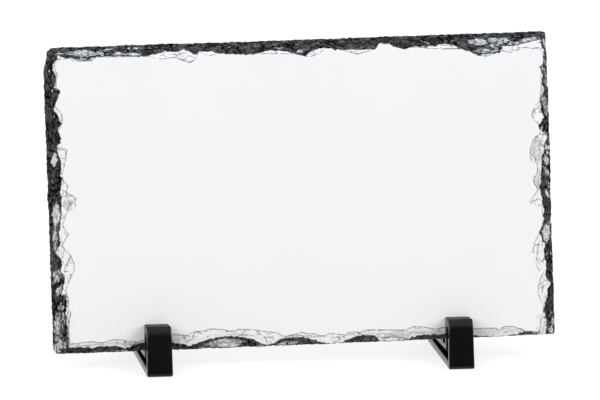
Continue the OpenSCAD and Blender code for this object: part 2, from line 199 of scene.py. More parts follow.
# Single flakes in the border: place along the edge, distance from it, half length,
# half width, turn in degrees, and how much of the white coat lies on the flake.
SINGLE_FLAKES = {
    "left": [
        (129.8, 5.9, 0.5, 1.1, 0, "white"), (138.7, 2.9, 0.6, 0.4, 0, "white"),
        (136.3, 1.7, 0.7, 0.35, 20, "pale"), (128.9, 4.2, 0.5, 0.4, 0, "white"),
        (116.1, 4.5, 0.9, 0.3, 10, "white"), (112, 3.2, 2.2, 0.3, -15, "grey"),
        (124, 3.3, 3.6, 0.3, -6, "grey"), (119.6, 1.9, 1.6, 0.3, 60, "grey"),
        (94.8, 3.8, 3.3, 1.7, 4, "white"), (88.5, 3.6, 1.6, 0.3, 30, "grey"),
        (68, 3.8, 6, 2.1, 4, "white"), (66.4, 7.2, 4.6, 0.9, -22, "scribbled"),
        (73.4, 9.4, 4, 2.4, -8, "scribbled"), (56, 2.9, 6.5, 1.2, 0, "pale"),
        (37.8, 3.2, 3.4, 2.4, 10, "pale"), (36.2, 3.1, 2.8, 1, 55, "pale"),
        (37, 5.5, 2, 0.9, 0, "mottled"), (30.9, 3.9, 3.5, 1.4, 30, "pale"),
        (27.6, 5, 0.9, 3, 0, "grey"), (28.9, 1.4, 2.3, 0.9, 0, "bare"),
        (15, 3.3, 11, 2.4, 8, "mottled"), (12, 5, 7, 0.8, 18, "mottled"),
        (21, 5.2, 5, 0.5, 10, "mottled"), (3.2, 3.6, 3.8, 3.1, 0, "pale"),
        (8.5, 2, 3.2, 0.9, 12, "mottled"),
    ],
    "right": [
        (143.1, 0.9, 2.3, 0.7, 6, "white"), (138.6, 0.5, 1.9, 0.5, 0, "pale"),
        (136.8, 2, 1.1, 0.5, 0, "grey"), (134.6, 1.3, 2.6, 0.5, 8, "pale"),
        (131.2, 2.2, 1.7, 0.6, 12, "white"), (128, 1.1, 1.8, 0.7, 10, "pale"),
        (124.6, 1.2, 2.2, 0.8, 14, "pale"), (120.7, 3.1, 3, 0.6, 0, "white"),
        (120.7, 1.4, 2.8, 0.9, 4, "grey"), (115.4, 2.4, 2.7, 1.5, 0, "pale"),
        (111.5, 1.2, 3.4, 1.2, -6, "pale"), (111, 3.3, 2.2, 0.8, 0, "bare"),
        (105, 1.9, 1.7, 1, 0, "grey"), (101.7, 3.6, 1.8, 0.6, -20, "white"),
        (98.8, 2.2, 1.4, 0.6, 0, "white"), (91.5, 7, 7.8, 3.4, 0, "scribbled"),
        (91, 6.2, 5.6, 2.0, 4, "scribbled"), (95.2, 1.1, 1.6, 0.8, 0, "grey"),
        (92.4, 1.6, 1.5, 1.1, 0, "pale"), (89.4, 1.4, 1.5, 0.5, 0, "white"),
        (85.9, 2.1, 2.4, 1.3, 0, "pale"), (80.4, 2.3, 2.8, 1.1, 24, "pale"),
        (75.4, 1.9, 2.1, 1.1, 0, "mottled"), (72.7, 0.8, 1.3, 0.6, 0, "pale"),
        (69.5, 2.1, 2.5, 0.8, 24, "white"), (59.8, 2.4, 2.5, 0.22, -46, "pale"),
        (49.8, 3.1, 5.3, 2.3, -6, "white"), (54.6, 0.9, 2, 0.6, -20, "pale"),
        (39.7, 3.4, 0.9, 0.6, 0, "white"), (39.8, 1.1, 0.8, 0.5, 0, "white"),
        (34.9, 3.1, 0.9, 0.6, 0, "grey"), (31, 1, 0.9, 0.5, 0, "pale"),
        (10.4, 2.2, 2, 0.5, -30, "pale"), (5.4, 1.5, 3.2, 1, -10, "pale"),
        (1.9, 2.6, 1.9, 1.9, 0, "pale"), (5.4, 6.7, 4.8, 1.6, -8, "streaked"),
        (75.5, 7, 4.4, 1, 0, "scribbled"),
    ],
    "upper": [
        (-116.5, 3.1, 2.3, 0.4, 0, "white"), (-104.5, 3.5, 10.6, 1.7, 2, "mottled"),
        (-108, 3.3, 6.4, 1.2, -4, "veined"), (-98, 3.7, 4.4, 1.0, 6, "veined"),
        (-93, 2, 3.4, 0.8, -8, "veined"), (-80.5, 2, 3.6, 0.6, 0, "veined"),
        (-105.5, 6.5, 4.8, 0.8, 2, "pale"), (-87.9, 4.3, 3, 1, 0, "white"),
        (-77.3, 2.2, 3.9, 0.9, 0, "mottled"), (-80.8, 4.8, 4.7, 0.9, 2, "white"),
        (-33.4, 3.3, 4, 0.35, -23, "grey"), (-26.3, 4, 4, 0.35, -22, "grey"),
        (-8.2, 4.2, 1.9, 0.45, 0, "pale"), (63.4, 6.2, 1.9, 0.35, 0, "pale"),
        (65.5, 4.2, 1.4, 0.5, 10, "pale"), (2.4, 6.7, 3, 1.5, -20, "mottled"),
        (90.9, 4.6, 5.8, 1.7, 4, "veined"), (98.4, 3.9, 3.0, 1.5, 8, "veined"),
        (104.6, 5.0, 5.6, 2.1, 14, "veined"), (97.7, 6.5, 3.2, 0.9, -10, "veined"),
        (93.4, 9.2, 6.4, 1.3, 2, "veined"), (100.6, 7.9, 3.0, 1.8, -12, "veined"),
        (110.4, 5.8, 1.9, 0.8, 6, "white"), (115.5, 4.6, 5.8, 1.1, -10, "veined"),
        (107.5, 2.3, 1.7, 0.45, 0, "grey"), (111.2, 2, 1.7, 0.4, 0, "grey"),
    ],
    "lower": [
        (-97.6, 1, 4.6, 0.6, 0, "grey"), (-91.2, 0.7, 3.3, 0.5, 0, "pale"),
        (-103.6, 0.9, 1.7, 0.6, 0, "mottled"), (-51.4, 0.5, 3.4, 0.5, 4, "pale"),
        (-39.6, 2.3, 10, 1.8, 2, "pale"), (-37.8, 1.3, 5.4, 1, 0, "white"),
        (-45.4, 2.6, 3, 0.8, 8, "pale"), (-21.5, 0.8, 3.2, 0.5, 0, "pale"),
        (-9, 1.3, 6.6, 0.8, 2, "mottled"), (14.8, 0.6, 2.2, 0.7, 0, "pale"),
        (28.8, 1.6, 2.1, 0.3, -10, "grey"), (34, 1.6, 2.5, 0.3, 14, "grey"),
        (31, 3.9, 4.6, 1.2, 4, "streaked"), (47, 2.9, 8.6, 2, 0, "scribbled"),
        (54, 3.4, 5, 1.4, 4, "streaked"), (65, 2.9, 3.4, 0.8, 0, "scribbled"),
        (90.5, 2.5, 7.2, 1.8, 0, "streaked"), (102.7, 2.7, 4.6, 1.2, 4, "streaked"),
        (110.2, 0.8, 3.4, 0.4, 2, "pale"),
    ],
}

# Fine cracks in the coated flakes: each a line of places along the edge and distances
FINE_CRACKS = {
    "left": [
        (140.5, 7, 138.5, 6.3, 136, 7.2), (140.3, 5.3, 137.4, 6.2), (131, 8.5, 129, 7.7),
        (122.7, 7.8, 120.6, 7.2, 117.1, 8.3, 113.2, 7.3), (120.6, 6.3, 118.5, 7.3),
        (99.6, 5.9, 99.9, 8.4, 97.4, 9.4), (95.4, 7.2, 96.4, 9.3), (93.3, 7.5, 91.9, 8.5, 88.4, 8),
        (82, 9.5, 80.2, 10.2), (82, 10, 78.2, 9.2), (77, 7.9, 77.4, 10.1, 76.9, 12.5),
        (76, 12.3, 73.7, 11.8, 70, 8.7), (74.3, 11, 72.2, 9.9), (72.4, 14.1, 66.5, 9.2),
        (58.6, 7.3, 58.1, 9.7), (57.9, 8.7, 54.8, 7.1, 52.1, 5.6),
        (54, 10.3, 51.8, 11.5, 49.4, 11, 47, 9.7, 43.9, 7.9, 40.1, 6.5), (51.3, 7, 47.1, 5.8),
        (40.1, 7, 40.2, 9.1), (45.6, 8.9, 42.8, 8.3), (20.4, 9.1, 15.5, 8.2),
        (20.1, 7.5, 14.8, 7.6),
    ],
    "right": [
        (113.4, 4.1, 110, 7.8, 108.5, 8.7), (112, 5.2, 109.2, 4.6),
        (100.8, 5.2, 95.2, 7.6, 90.3, 8.5, 85.7, 7.5), (96.5, 4.7, 91.6, 5.5, 85.3, 6.1),
        (98.6, 3.2, 95.1, 4.7), (99.4, 6.3, 98.6, 3.9), (93.1, 7.3, 93.6, 3.7),
        (91, 8.8, 87.4, 7.8), (84.6, 7.2, 81.8, 6.8), (81.8, 6.8, 78.3, 8.5, 74.4, 8.6, 71.9, 6.9),
        (81.7, 5.9, 74, 6.7), (67, 6, 65.5, 10.7), (64.4, 10.8, 63.6, 4.9),
        (48.2, 5.4, 44.4, 7.9, 40.1, 8.3), (39.8, 9.5, 40, 8.3), (44.4, 8.1, 44.1, 5.4),
        (36.6, 6.7, 35.5, 6.3, 36.5, 5.5), (24.5, 6.8, 23.1, 6.1, 20.3, 6.8),
        (22.5, 8.3, 24.4, 3.9), (8.8, 4.6, 4, 6.2, 0.2, 7.5), (9.6, 3.4, 5.4, 4.6, 0.1, 5.4),
    ],
    "lower": [
        (-115.5, 2.5, -110.5, 3.5, -105.6, 3), (-109.2, 2.5, -103.5, 4.1, -100, 3.5),
        (-98.5, 4.3, -93.6, 4.2, -87.3, 3, -83, 3.8), (-90.1, 4.6, -87.3, 3.8),
        (-64.3, 4.5, -61.1, 5.3, -58.7, 3.9, -55.8, 4.7), (-55.3, 8, -51.8, 7),
        (-39.1, 6.1, -34.9, 6.2, -29.2, 5.4), (-33.5, 5.2, -28.5, 5.3, -25, 4.7),
        (-22.6, 3.7, -17.2, 4), (-20.7, 4.5, -19.3, 1.2), (-24.9, 6.9, -22.5, 5.4),
        (-10.1, 3.7, -6.6, 4.2, -4.5, 3.9), (-3.7, 4.3, 1.9, 3.2, 7.6, 3.4),
        (11.8, 2.1, 16.1, 2.8, 18.9, 2.5), (21.1, 3.3, 24, 4.1, 28.2, 3.4),
        (33.2, 2.5, 37.5, 3.6, 43.2, 2.8), (37.4, 1.6, 43.8, 1.9, 50.2, 1.1),
        (50.3, 3.2, 53.9, 3.9, 57.4, 2.8, 60.6, 3.2),
    ],
    "upper": [
        (-104.5, 6.4, -99.5, 5.6, -96, 6.4), (-71.3, 4.8, -67.7, 4.4), (-62.8, 5.4, -59.3, 5.2),
        (-59.7, 7, -57.9, 4.9, -55.7, 4.8), (-58, 7.7, -54.5, 9.4, -50.9, 9),
        (-56.5, 6.7, -52.3, 6.5, -49.5, 7.7), (-48, 5.3, -44.5, 6.6), (1.2, 7.3, 4, 6.9, 8.3, 6.2),
        (3.3, 8.2, 6.8, 7.5), (6.9, 6.1, 8, 4.1), (11.9, 6.3, 16.1, 7.3, 21.1, 7),
        (25.3, 6.8, 28.1, 8.4, 32.4, 8.4, 36, 7.1), (72.8, 7.5, 81.6, 7.6), (62.3, 6.2, 65.1, 6.9),
        (102.1, 9.4, 105.2, 10.1, 107.4, 10.4), (107.5, 8.1, 108, 10.1), (110.9, 8.2, 110.6, 9.7),
        (114.1, 8, 117.8, 8.9, 120.9, 8.7), (94.6, 11, 99, 10.5), (91.4, 11.5, 95.2, 12.1),
    ],
}

# Share of the shards that hold the coat, and thin overspray, for each of those words
COAT_ON = {
    "bare": (0.0, 0.0), "veined": (0.885, 0.0), "grey": (0.34, 0.1), "mottled": (0.62, 0.08),
    "scribbled": (0.91, 0.76), "streaked": (0.945, 0.84), "pale": (0.8, 0.3), "white": (0.94, 0.5),
}
# Insets of the worn rim, in mm, in pairs as above
RIM_INSET = {
    "left": [0, 0.4, 150, 0.4], "upper": [-125, 0.3, -60, 0.2, -44, 0.5, 78, 0.55, 125, 0.62],
    "right": [0, 0.34, 45, 0.24, 70, 0.12, 80, -0.3, 130, -0.3, 142, 0, 150, 0.1],
    "lower": [-125, -0.2, -110, -0.5, 100, -0.5, 125, -0.3],
}
EDGES = ("lower", "right", "upper", "left")
# Fine teeth of the bare stone's limit: how many, how high and how far from the middle
# they reach. Then the least widths of the bare and the flaked zone.
TEETH, TEETH_HIGH, TEETH_REACH, LEAST_BARE, LEAST_FLAKE = 400, 0.26, 180, 0.15, 0.35
# Depths below the face: where the bare stone starts, how far it falls from there to
# the rim and over what width, and the inner end and further fall of a coated flake
BARE_TOP, RIM_FALL, RIM_REACH, FLAKE_TOP, FLAKE_FALL = 1.0, 3.9, 1.5, 0.16, 0.62
LEAST_DEPTH, LEDGE, LEDGE_DEPTH = 0.1, 0.5, 0.07
# Length and width of the broken facets and of the smaller ones on them, their slant
# along each edge, and how high they stand in the bare stone and on a coated flake
FACET, SMALL_FACET = (4.6, 1.9), (1.9, 0.9)
FACET_SLANT, SMALL_SLANT = {"lower": -0.6, "right": 0.9, "upper": -0.6, "left": 0.9}, -0.5
FACET_HIGH, SMALL_HIGH, FLAKE_FACET_HIGH = 0.75, 0.32, 0.16
# A single flake's outline, from a lozenge at 1 to an oval at 2, how far the facets
# notch it along and across, how proud and tilted it is, and how its coat frays
FLAKE_SHAPE, NOTCH, FLAKE_PROUD, FLAKE_TILT, FLAKE_FRAY = 1.35, (1.1, 0.5), 0.22, 0.12, 0.45
# Inset that the tables were taken at, and how far in the flakes shift with the rim
USUAL_INSET, SHIFT_REACH = 0.35, 2.4


def edge_place(edge, u, v):
    """Place along an edge and distance from it, from board millimetres."""
    return {"left": (v, u + BOARD_W / 2), "right": (v, BOARD_W / 2 - u),
            "upper": (u, BOARD_H - v), "lower": (u, v)}[edge]


def joined(pairs, s):
    """A table's value at places along the edge, its pairs joined by straight lines."""
    places, values = np.array(pairs, float).reshape(-1, 2).T
    return np.interp(s, places, values)


def limits(edge, s):
    """Inner limits of the bare stone and of the coated flakes along an edge: the
    tables' lines, with small ripples and, for the bare stone, seeded teeth."""
    number = EDGES.index(edge)
    teeth = np.random.default_rng(120 + number).uniform(-1, 1, TEETH)
    bare = joined(BARE_LIMIT[edge], s) + 0.14 * ripple(s, 0 * s, 2.3, 20 + number)
    bare += TEETH_HIGH * np.interp(s, np.linspace(-TEETH_REACH, TEETH_REACH, TEETH), teeth)
    bare = np.maximum(bare, LEAST_BARE)
    flake = joined(FLAKE_LIMIT[edge], s) + 0.12 * ripple(s, 0 * s, 3.1, 30 + number)
    return bare, np.maximum(flake, bare + LEAST_FLAKE)


def away_from(path, s, t):
    """Distance to a broken line: the least distance to any of its straight runs."""
    ends = np.array(path).reshape(-1, 2)
    away = np.full(s.shape, FAR)
    for a, b in zip(ends[:-1], ends[1:]):
        run = b - a
        share = (((s - a[0]) * run[0] + (t - a[1]) * run[1]) / (run @ run)).clip(0, 1)
        away = np.minimum(away, np.hypot(s - a[0] - share * run[0], t - a[1] - share * run[1]))
    return away


def edge_chips(edge, s, t):
    """How deep the flakes of one edge cut below the stone's face. From the inner
    limit the coated flakes step down a little and slope to about 1 mm, then the
    bare stone falls steeply to the rim. Broken facets, ledges between the layers
    of the slate and the single flakes are added. Returns the depth, the share of
    the coat that holds and the overspray on it."""
    number = EDGES.index(edge)
    bare, flake = limits(edge, s)
    rim_depth = BARE_TOP + RIM_FALL * (1 - np.exp(-bare / RIM_REACH))
    rim_depth = rim_depth + 0.35 * ripple(s, 0 * s, 9.0, 40 + number)
    steep = np.clip(t / bare, 0, 1)
    gentle = np.clip((t - bare) / (flake - bare), 0, 1)
    in_bare, in_flake = t < bare, (t >= bare) & (t < flake)
    depth = np.where(in_bare, BARE_TOP + (rim_depth - BARE_TOP) * (1 - steep) ** 0.85, 0.0)
    depth = np.where(in_flake, FLAKE_TOP + FLAKE_FALL * (1 - gentle) ** 1.4, depth)

    height, crack, _ = broken_facets(s, t, *FACET, FACET_SLANT[edge], 3 + number)
    small, _, jag = broken_facets(s, t, *SMALL_FACET, SMALL_SLANT, 13 + number)
    rough = FACET_HIGH * height + SMALL_HIGH * small
    depth += np.where(in_bare, rough * smooth(0, 0.6, bare - t), 0)
    depth += np.where(in_flake, FLAKE_FACET_HIGH * height * smooth(0, 0.8, flake - t), 0)
    depth += np.where(in_bare, LEDGE_DEPTH * np.sin(2 * np.pi * depth / LEDGE), 0)

    # The coat is torn along some of the cracks between facets
    torn = in_flake & (ripple(s, t, 7.0, 60) > 0.1)
    coat = np.where(in_bare, 0.0, 1.0) - np.where(torn, 0.42 * smooth(0.12, 0.0, crack), 0)
    spray = np.where(in_bare, 0.0, 0.97) - np.where(torn, 0.6 * smooth(0.1, 0.0, crack), 0)

    # Each single flake is a rounded lozenge with a wavering outline, proud of the rest
    wobble = 0.14 * ripple(s, t, 2.6, 70 + number) + 0.06 * ripple(s, t, 1.1, 80 + number)
    for place, off, half_long, half_wide, turn, word in SINGLE_FLAKES[edge]:
        c, d = np.cos(np.radians(turn)), np.sin(np.radians(turn))
        x, y = s - place + NOTCH[0] * jag, t - off + NOTCH[1] * jag
        a, b = (x * c + y * d) / half_long, (y * c - x * d) / half_wide
        r = (np.abs(a) ** FLAKE_SHAPE + np.abs(b) ** FLAKE_SHAPE) ** (1 / FLAKE_SHAPE) + wobble
        lift = -FLAKE_PROUD * (1 - r.clip(0, 1)) * min(half_wide, 1.6)
        tilt = FLAKE_TILT * a.clip(-1, 1) * half_wide ** 0.5
        depth += smooth(1.06, 0.94, r) * (lift + tilt)
        held, sprayed = COAT_ON[word]
        fade = FLAKE_FRAY * min(1.0, 0.9 / min(half_long, half_wide))
        within = smooth(1.0 + fade, 1.0 - fade, r)
        coat = coat * (1 - within) + held * within
        spray = spray * (1 - within) + sprayed * within

    # Fine cracks and, where the coated flakes and the bare stone begin, thin dark lines where coat
    # and overspray are thinned
    open_share = (0.6 + 0.5 * ripple(s, t, 3.0, 95 + number)).clip(0, 1)
    for path in FINE_CRACKS[edge]:
        line = smooth(0.34, 0.08, away_from(path, s, t)) * open_share
        coat, spray = coat * (1 - 0.5 * line), spray * (1 - 0.42 * line)
    limit_line = smooth(0.36, 0.1, np.abs(t - flake + 0.14))
    limit_line = (limit_line * (0.62 + 0.62 * ripple(s, t, 4.0, 90 + number))).clip(0, 1)
    seam = smooth(0.3, 0.05, np.abs(t - bare + 0.1))
    coat, spray = coat * (1 - 0.7 * limit_line) * (1 - seam), spray * (1 - 0.62 * limit_line) * (1 - seam)
    return np.where(t < flake, np.maximum(depth, LEAST_DEPTH), 0.0), coat, spray


def chips(u, v):
    """Depth, coat and overspray at any place of the board: where the flakes of
    two edges meet at a corner, the deeper cut counts. Near the rim the flakes
    shift with its inset."""
    depth, coat, spray = np.full(u.shape, -1.0), np.ones(u.shape), np.ones(u.shape)
    for edge in EDGES:
        s, t = edge_place(edge, u, v)
        t = t + (USUAL_INSET - joined(RIM_INSET[edge], s)) * smooth(SHIFT_REACH, 0.0, t)
        d, c, h = edge_chips(edge, s, t)
        deeper = d > depth
        depth, coat, spray = (np.where(deeper, new, old)
                              for new, old in ((d, depth), (c, coat), (h, spray)))
    return depth, coat, spray


def plan_rings(inset, corner_r):
    """Outline points of the slab in order, starting at the lower left corner, and
    the points on an inner ring that go with them. inset(edge, s) is how far in
    the inner ring lies, corner_r its corner radius. Edges are walked in equal
    steps, corners in equal turns."""
    left, right = -BOARD_W / 2, BOARD_W / 2
    start = np.array([[left, 0], [right, 0], [right, BOARD_H], [left, BOARD_H]])
    along = np.array([[1, 0], [0, 1], [-1, 0], [0, -1]], float)
    inward = np.array([[0, 1], [-1, 0], [0, -1], [1, 0]], float)
    lengths = (BOARD_W, BOARD_H, BOARD_W, BOARD_H)
    # Places along the edges at the two ends of each walk
    end_s = ((left, right), (0, BOARD_H), (right, left), (BOARD_H, 0))
    # Where the inner ring turns at each corner: the insets of the two edges there
    turn = [start[c] + along[c] * (inset(EDGES[c - 1], end_s[c - 1][1]) + corner_r)
            + inward[c] * (inset(EDGES[c], end_s[c][0]) + corner_r) for c in range(4)]
    outer, inner = [], []
    for c, after in enumerate((1, 2, 3, 0)):
        steps = max(6, int(np.pi / 2 * CORNER_R[c] / COLUMN_STEP) + 3)
        a = np.pi / 2 * np.arange(steps)[:, None] / steps
        way = -inward[c] * np.sin(a) - along[c] * np.cos(a)
        outer.append(start[c] + (along[c] + inward[c]) * CORNER_R[c] + CORNER_R[c] * way)
        inner.append(turn[c] + corner_r * way)
        run = lengths[c] - CORNER_R[c] - CORNER_R[after]
        share = (np.arange(int(run / COLUMN_STEP)) / int(run / COLUMN_STEP))[:, None]
        outer.append(start[c] + along[c] * (CORNER_R[c] + run * share))
        low, high = turn[c] @ along[c], turn[after] @ along[c]
        place = low + (high - low) * share
        first, last = end_s[c]
        s = first + (last - first) * ((place[:, 0] - start[c] @ along[c]) / lengths[c])
        off = inward[c] * (start[c] @ inward[c]) + inward[c] * inset(EDGES[c], s)[:, None]
        inner.append(along[c] * place + off)
    return np.concatenate(outer), np.concatenate(inner)


def filled(loops):
    """Triangles that fill closed loops of plane points (the later loops are
    holes), each turned to run anticlockwise. Indexes count through all loops."""
    flat = [np.column_stack([loop, 0 * loop[:, :1]]).tolist() for loop in loops]
    fill = np.array(tessellate_polygon(flat))
    a, b, c = (np.concatenate(loops)[fill[:, k]] for k in range(3))
    turn = (b - a)[:, 0] * (c - a)[:, 1] - (b - a)[:, 1] * (c - a)[:, 0]
    return np.where((turn > 0)[:, None], fill, fill[:, ::-1])


def mesh_piece(name, points, *faces, normals=None, rounded=True):
    """A mesh object at the origin from metre points and arrays of face corners,
    four to a face in one array and three in the next."""
    mesh = bpy.data.meshes.new(name)
    counts = np.concatenate([np.full(len(group), len(group[0])) for group in faces])
    loops = np.concatenate([np.ravel(group) for group in faces])
    mesh.vertices.add(len(points))
    mesh.vertices.foreach_set("co", np.asarray(points, np.float32).ravel())
    mesh.loops.add(len(loops))
    mesh.loops.foreach_set("vertex_index", loops.astype(np.int32))
    mesh.polygons.add(len(counts))
    mesh.polygons.foreach_set("loop_start", (np.cumsum(counts) - counts).astype(np.int32))
    mesh.polygons.foreach_set("use_smooth", np.full(len(counts), rounded))
    mesh.update(calc_edges=True)
    mesh.validate()
    if normals is not None:
        mesh.normals_split_custom_set_from_vertices(normals.tolist())
    piece = bpy.data.objects.new(name, mesh)
    bpy.context.scene.collection.objects.link(piece)
    return piece


def ring_quads(rows, count, first=0):
    """Corners of the quads between rings of equal count, one ring after another."""
    k, i = np.meshgrid(np.arange(rows - 1), np.arange(count), indexing="ij")
    j = (i + 1) % count
    a, b = first + k * count, first + (k + 1) * count
    return np.stack([a + i, a + j, b + j, b + i], -1).reshape(-1, 4)


# How steeply the grid's inner end falls away from a peak of the flakes' limit and how
# far to each side, how far it lies under the coat, and its corner radius
PEAK_SLOPE, PEAK_REACH, UNDER_COAT, GRID_CORNER_R = 0.45, 12, 0.7, 1.6


def wide_inset(edge, s):
    """Inner end of the border's grid: the flakes' limit, its peaks sloping away
    gently to each side, and a margin that lies under the coat."""
    s = np.asarray(s, float)
    beside = np.linspace(-PEAK_REACH, PEAK_REACH, 49)
    peaks = [limits(edge, s + k)[1] - PEAK_SLOPE * abs(k) for k in beside]
    return np.max(peaks, axis=0) + UNDER_COAT


outline, inside = plan_rings(wide_inset, GRID_CORNER_R)
COLUMNS = len(outline)
toward = inside - outline
toward /= np.linalg.norm(toward, axis=1)[:, None]
walk = np.arange(COLUMNS) * COLUMN_STEP


def rim_inset(u, v):
    """How far the rim lies inside the plan's straight edges, in mm. Each edge has
    its own run of insets, and near a corner the nearer edge counts for more."""
    total, weights = 0.0, 0.0
    for edge in EDGES:
        s, t = edge_place(edge, u, v)
        weight = 1 / (np.abs(t) + 0.3) ** 2
        total, weights = total + weight * joined(RIM_INSET[edge], s), weights + weight
    return total / weights


# The rim wavers about its insets, with a row of shallow bays
rim_in = rim_inset(outline[:, 0], outline[:, 1]) - 0.09
rim_in += 0.2 * ripple(walk, 0 * walk, 9.0, 5) + 0.18 * ripple(walk, 0 * walk, 3.4, 6)
rim_in += 0.16 * np.abs(ripple(walk, 0 * walk, 5.0, 7))
# The upper left corner is knocked off
knocked = smooth(138.0, 146.5, outline[:, 1]) * (1 - 0.8 * smooth(146.5, 150, outline[:, 1]))
rim_in += 1.9 * knocked * smooth(-119.5, -122, outline[:, 0])
# The lower edge is straight where it sits in the left foot. The board is turned about
# its middle, so in its own plan that lies 1.1 mm further left. Elsewhere the rim
# stands out by MOST_OUT at the most.
SEAT_U, SEAT_INSET, MOST_OUT = -74.3, 0.42, -0.7
seat = smooth(7.6, 6.6, np.abs(outline[:, 0] - SEAT_U)) * (outline[:, 1] < 1)
rim_in = np.maximum(rim_in, MOST_OUT) * (1 - seat) + SEAT_INSET * seat
rim = outline + toward * rim_in[:, None]

# Front: rows from the inner ring out to the rim, closer together near the rim
share = np.linspace(0, 1, BORDER_ROWS)[:, None, None] ** 0.92
front = inside[None] + (rim - inside)[None] * share
front_depth, front_coat, front_spray = chips(front[..., 0], front[..., 1])
front_w = COAT_T + front_depth

# Side: from the rim's depth straight to the back, which has a small worn chamfer
LEAST_SIDE, CHAMFER, CHAMFER_MID = 1.0, 0.45, 0.16
rim_w = front_w[-1].clip(0, SLAB_T - LEAST_SIDE)
front_w[-1] = rim_w
down = np.array([0.25, 0.5, 0.75, 1.0])[:, None]
side_in = 0.12 * ripple(walk, 0 * walk, 6.0, 8)[None] * down * (1 - down)
layer = broken_facets(walk[None] + 0 * down, 40 + down * 4 + 0 * walk, 5.0, 0.8, 0.3, 50)[0]
side_in = np.maximum(side_in + 0.16 * layer * (down < 1), -0.03)
side = rim[None] + toward[None] * side_in[..., None]
side_w = rim_w[None] + (SLAB_T - CHAMFER - rim_w)[None] * down
back_in = np.array([0.12, CHAMFER, 3.0])[:, None] + 0.1 * ripple(walk, 0 * walk, 4.0, 9)[None]
back = rim[None] + toward[None] * back_in[..., None]
back_w = np.array([SLAB_T - CHAMFER_MID, SLAB_T, SLAB_T])[:, None] + 0 * walk[None]

plan = np.concatenate([front, side, back])
depth_w = np.concatenate([front_w, side_w, back_w])
ROWS = len(plan)
face_fill = filled([front[0]])
back_fill = filled([back[-1]])[:, ::-1] + (ROWS - 1) * COLUMNS
slab_points = in_slots(plan[..., 0].ravel(), depth_w.ravel(), plan[..., 1].ravel())
slab = mesh_piece("slate_board", slab_points, ring_quads(ROWS, COLUMNS)[:, ::-1],
                  np.concatenate([face_fill, back_fill]), rounded=False)
# UV map in millimetres: along the edge, and across the border and down the side
step = np.linalg.norm(np.roll(rim, -1, 0) - rim, axis=1)
round_trip = np.concatenate([[0.0], np.cumsum(step)])
ways = np.stack([plan[..., 0], depth_w, plan[..., 1]], -1)
across = np.cumsum(np.linalg.norm(np.diff(ways, axis=0), axis=-1), 0)
across = np.concatenate([np.zeros((1, COLUMNS)), across])
across = across[BORDER_ROWS - 1] - across
corner = np.empty(len(slab.data.loops), np.int32)
slab.data.loops.foreach_get("vertex_index", corner)
column, row = corner % COLUMNS, corner // COLUMNS
size_of = np.empty(len(slab.data.polygons), np.int32)
slab.data.polygons.foreach_get("loop_total", size_of)
face_of = np.repeat(np.arange(len(size_of)), size_of)
first_of = np.concatenate([[0], np.cumsum(size_of)[:-1]])
# A face that closes the ring ends at the full way round, not at 0
reach = np.maximum.reduceat(column, first_of) - np.minimum.reduceat(column, first_of)
closes = (reach > COLUMNS / 2)[face_of]
along_u = np.where(closes & (column == 0), round_trip[-1], round_trip[column])
border = np.stack([along_u, across[row, column]], -1)
slab.data.uv_layers.new(name="border")
slab.data.uv_layers["border"].data.foreach_set("uv", border.astype(np.float32).ravel())
bare_rest = np.zeros((ROWS - BORDER_ROWS, COLUMNS))
for name, values in (("coat", front_coat), ("spray", front_spray)):
    attribute = slab.data.attributes.new(name, "FLOAT", "POINT")
    values = np.concatenate([values, bare_rest]).clip(0, 1)
    attribute.data.foreach_set("value", values.astype(np.float32).ravel())


